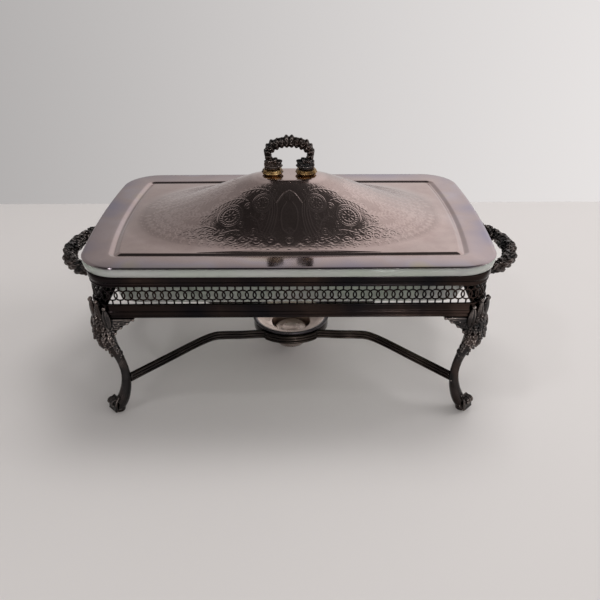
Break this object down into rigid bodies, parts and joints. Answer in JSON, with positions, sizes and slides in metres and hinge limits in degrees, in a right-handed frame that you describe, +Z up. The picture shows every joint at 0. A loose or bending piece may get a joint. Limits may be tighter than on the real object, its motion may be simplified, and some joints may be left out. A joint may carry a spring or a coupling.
{
  "type": "buffet server",
  "caption": "Footed buffet server: chased dome lid on a glass casserole dish in a pierced plated frame with end handles, over a spirit burner.",
  "frame": {"origin": "on the table, under the centre of the frame", "axes": "+X along the length, to the right as seen from the front; +Y to the back; +Z up"},
  "size_m": [0.48, 0.252, 0.247],
  "materials": {
    "tarnished_silver": "polished plate with brown tarnish",
    "oxidised_silver": "cast plate, darkly oxidised, bright on its high spots",
    "worn_brass": "worn through plate",
    "clear_glass": "clear, faintly green at its edges",
    "screw_steel": "dull",
    "burner_metal": "dull plate, heat stained"
  },
  "bodies": {
    "frame": {"burner_holder": "oxidised_silver", "end_handle_left": "oxidised_silver", "end_handle_right": "oxidised_silver", "end_handle_screw_back_left": "screw_steel", "end_handle_screw_back_right": "screw_steel", "end_handle_screw_front_left": "screw_steel", "end_handle_screw_front_right": "screw_steel", "gallery_back": "oxidised_silver", "gallery_front": "oxidised_silver", "gallery_left": "oxidised_silver", "gallery_right": "oxidised_silver", "leg_back_left": "oxidised_silver", "leg_back_right": "oxidised_silver", "leg_front_left": "oxidised_silver", "leg_front_right": "oxidised_silver", "leg_screw_back_left": "screw_steel", "leg_screw_back_right": "screw_steel", "leg_screw_front_left": "screw_steel", "leg_screw_front_right": "screw_steel", "lower_rim": "oxidised_silver", "stretcher_back": "oxidised_silver", "stretcher_front": "oxidised_silver", "stretcher_rivet_back_left": "screw_steel", "stretcher_rivet_back_right": "screw_steel", "stretcher_rivet_front_left": "screw_steel", "stretcher_rivet_front_right": "screw_steel", "upper_rim": "oxidised_silver"},
    "dish": {"glass_dish": "clear_glass"},
    "lid": {"lid_cover": "tarnished_silver", "lid_handle": "oxidised_silver", "lid_handle_collar_left": "worn_brass", "lid_handle_collar_right": "worn_brass", "lid_handle_screw_left": "screw_steel", "lid_handle_screw_right": "screw_steel"},
    "pan": {"burner_pan": "burner_metal"},
    "cup": {"fuel_cup": "burner_metal"},
    "cap": {"fuel_cup_cap": "burner_metal"}
  },
  "joints": [
    {"name": "dish_lift", "type": "slide", "parent": "frame", "child": "dish", "axis": [0, 0, 1], "range_m": [0, 0.08]},
    {"name": "lid_lift", "type": "slide", "parent": "dish", "child": "lid", "axis": [0, 0, 1], "range_m": [0, 0.06]},
    {"name": "pan_lift", "type": "slide", "parent": "frame", "child": "pan", "axis": [0, 0, 1], "range_m": [0, 0.04]},
    {"name": "cup_lift", "type": "slide", "parent": "pan", "child": "cup", "axis": [0, 0, 1], "range_m": [0, 0.025]},
    {"name": "cap_lift", "type": "slide", "parent": "cup", "child": "cap", "axis": [0, 0, 1], "range_m": [0, 0.015]}
  ]
}
